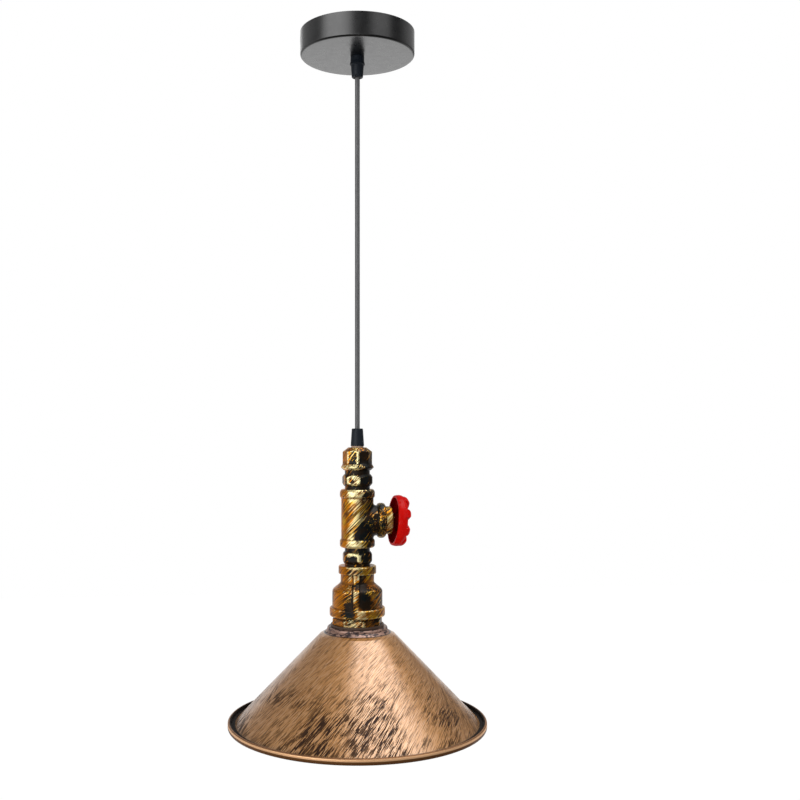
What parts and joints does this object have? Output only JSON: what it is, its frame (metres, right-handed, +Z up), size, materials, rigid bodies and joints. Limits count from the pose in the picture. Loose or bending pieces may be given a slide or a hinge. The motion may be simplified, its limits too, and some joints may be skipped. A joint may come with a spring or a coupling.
{
  "type": "pendant light",
  "caption": "Pendant light of iron pipe fittings on a flex, with a ceiling rose, an ornamental side handwheel and a wide cone shade over a screw lampholder.",
  "frame": {"origin": "centre of the ceiling rose's top face, in the plane of the ceiling", "axes": "+Z up into the ceiling, +X along the tee's side branch towards the handwheel, the lamp hangs along -Z"},
  "size_m": [0.2706, 0.2706, 0.7255],
  "materials": {
    "black_steel": "satin black lacquer",
    "zinc_steel": "zinc plated",
    "brass_parts": "turned",
    "white_plastic": "moulded",
    "black_plastic": "moulded, satin",
    "rubber_parts": "matt",
    "grey_flex": "satin sheath",
    "live_insulation": "satin",
    "neutral_insulation": "satin",
    "earth_insulation": "satin",
    "antique_iron": "antique gold brushed over black",
    "dark_iron": "dark antique",
    "wheel_red": "gloss red enamel",
    "fibre_washer": "matt",
    "copper_sheet": "brushed copper finish with dark streaks",
    "black_holder": "moulded, satin",
    "white_core": "glazed insulator"
  },
  "bodies": {
    "ceiling_rose": {"rose_cover": "black_steel", "ceiling_bracket": "zinc_steel", "cover_screws": "black_steel", "terminal_block": "white_plastic", "terminal_inserts": "brass_parts", "terminal_screws": "zinc_steel", "block_screw": "zinc_steel", "earth_washer": "brass_parts", "earth_screw": "brass_parts", "earth_lead": "earth_insulation", "rose_live_core": "live_insulation", "rose_neutral_core": "neutral_insulation", "rose_earth_core": "earth_insulation", "rose_flex_tail": "grey_flex", "upper_grip_body": "black_plastic", "upper_grip_washer": "zinc_steel", "upper_grip_nut": "zinc_steel", "upper_grip_cap": "black_plastic", "upper_grip_clamp": "rubber_parts"},
    "upper_swivel": {"upper_bush": "rubber_parts"},
    "flex": {"cord": "grey_flex"},
    "turning_ring": {"cord_ferrule": "brass_parts"},
    "lower_swivel": {"lower_bush": "rubber_parts"},
    "lamp": {"lower_grip_cap": "black_plastic", "lower_grip_clamp": "rubber_parts", "lower_grip_body": "black_plastic", "lower_grip_washer": "zinc_steel", "lower_grip_nut": "zinc_steel", "pipe_cap": "antique_iron", "upper_nipple": "dark_iron", "pipe_tee": "antique_iron", "valve_bonnet": "antique_iron", "lower_nipple": "dark_iron", "reducing_socket": "antique_iron", "octagon_bush": "antique_iron", "shade_gasket": "fibre_washer", "shade": "copper_sheet", "lamp_stud": "zinc_steel", "stud_washer": "zinc_steel", "stud_nut": "zinc_steel", "holder_cap": "black_holder", "holder_core": "white_core", "holder_screws": "brass_parts", "holder_skirt": "black_holder", "screw_shell": "brass_parts", "centre_contact": "brass_parts", "lamp_flex": "grey_flex", "lamp_live_core": "live_insulation", "lamp_neutral_core": "neutral_insulation", "lamp_earth_core": "earth_insulation"},
    "wheel": {"valve_spindle": "brass_parts", "handwheel": "wheel_red", "wheel_washer": "zinc_steel", "wheel_nut": "zinc_steel"}
  },
  "joints": [
    {"name": "swing_fore_aft", "type": "hinge", "parent": "ceiling_rose", "child": "upper_swivel", "pos_m": [0, 0, -0.0458], "axis": [1, 0, 0], "range_deg": [-20, 20]},
    {"name": "swing_sideways", "type": "hinge", "parent": "upper_swivel", "child": "flex", "pos_m": [0, 0, -0.0458], "axis": [0, 1, 0], "range_deg": [-20, 20]},
    {"name": "lamp_turn", "type": "hinge", "parent": "flex", "child": "turning_ring", "pos_m": [0, 0, -0.4165], "axis": [0, 0, 1], "range_deg": [-180, 180]},
    {"name": "tilt_fore_aft", "type": "hinge", "parent": "turning_ring", "child": "lower_swivel", "pos_m": [0, 0, -0.4165], "axis": [1, 0, 0], "range_deg": [-15, 15]},
    {"name": "tilt_sideways", "type": "hinge", "parent": "lower_swivel", "child": "lamp", "pos_m": [0, 0, -0.4165], "axis": [0, 1, 0], "range_deg": [-15, 15]},
    {"name": "wheel_turn", "type": "hinge", "parent": "lamp", "child": "wheel", "pos_m": [0.0364, 0, -0.512], "axis": [0.9938, 0.0782, -0.0785], "continuous": true}
  ]
}
